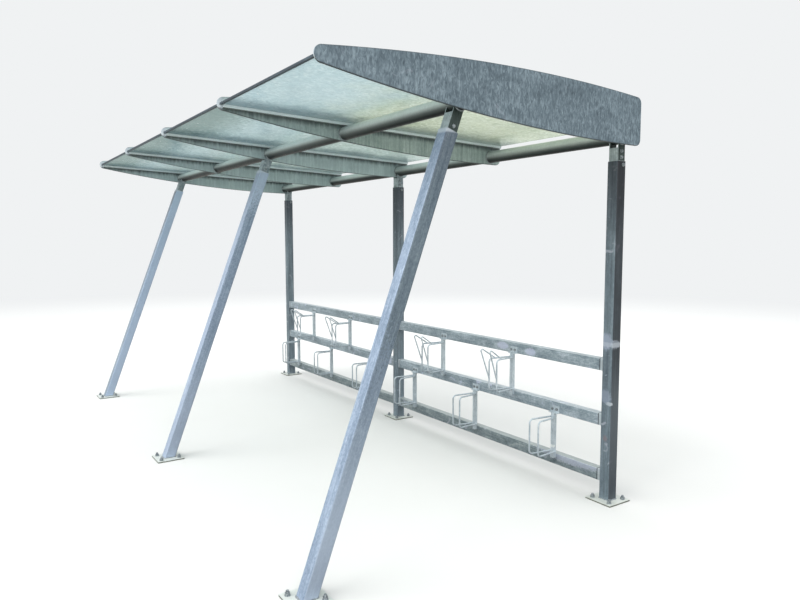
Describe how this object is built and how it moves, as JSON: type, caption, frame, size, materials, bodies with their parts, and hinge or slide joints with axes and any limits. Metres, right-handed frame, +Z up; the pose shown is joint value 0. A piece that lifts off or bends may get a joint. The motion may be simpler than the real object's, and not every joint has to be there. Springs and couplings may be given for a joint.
{
  "type": "bike shelter",
  "caption": "open bike shelter of galvanised steel with a glass roof between wing shaped plates, leaning front posts, rear rails and wheel holders",
  "frame": {"origin": "centre of the footprint on the ground, under the middle of the roof", "axes": "+X along the shelter, +Y from the open front to the rack at the rear, +Z up"},
  "size_m": [5.2, 2.397, 2.639],
  "materials": {
    "post_steel": "hot-dip galvanised with a soft spangle",
    "plate_steel": "hot-dip galvanised, dull grey, with a bold upright spangle",
    "tube_steel": "hot-dip galvanised, dull",
    "head_steel": "hot-dip galvanised, dark and weathered",
    "rail_steel": "hot-dip galvanised, bright in places",
    "edge_channel": "dull dark zinc",
    "roof_glass": "translucent pale green safety glass, clouded by damp and dust"
  },
  "bodies": {
    "root": {"front_post_1": "post_steel", "front_post_2": "post_steel", "front_post_3": "post_steel", "rear_post_1": "post_steel", "rear_post_2": "post_steel", "rear_post_3": "post_steel", "front_head_1": "head_steel", "front_head_2": "head_steel", "front_head_3": "head_steel", "rear_head_1": "head_steel", "rear_head_2": "head_steel", "rear_head_3": "head_steel", "front_purlin": "tube_steel", "rear_purlin": "tube_steel", "roof_plate_1": "plate_steel", "roof_plate_2": "plate_steel", "roof_plate_3": "plate_steel", "roof_plate_4": "plate_steel", "roof_plate_5": "plate_steel", "glass_pane_1": "roof_glass", "glass_pane_2": "roof_glass", "glass_pane_3": "roof_glass", "glass_pane_4": "roof_glass", "glass_edge_1": "edge_channel", "glass_edge_2": "edge_channel", "glass_edge_3": "edge_channel", "glass_edge_4": "edge_channel", "top_rail_1": "rail_steel", "top_rail_2": "rail_steel", "middle_rail_1": "rail_steel", "middle_rail_2": "rail_steel", "bottom_rail_1": "rail_steel", "bottom_rail_2": "rail_steel", "low_holder_1": "rail_steel", "low_holder_2": "rail_steel", "low_holder_3": "rail_steel", "low_holder_4": "rail_steel", "low_holder_5": "rail_steel", "low_holder_6": "rail_steel", "high_holder_1": "rail_steel", "high_holder_2": "rail_steel", "high_holder_3": "rail_steel", "high_holder_4": "rail_steel"}
  },
  "joints": []
}
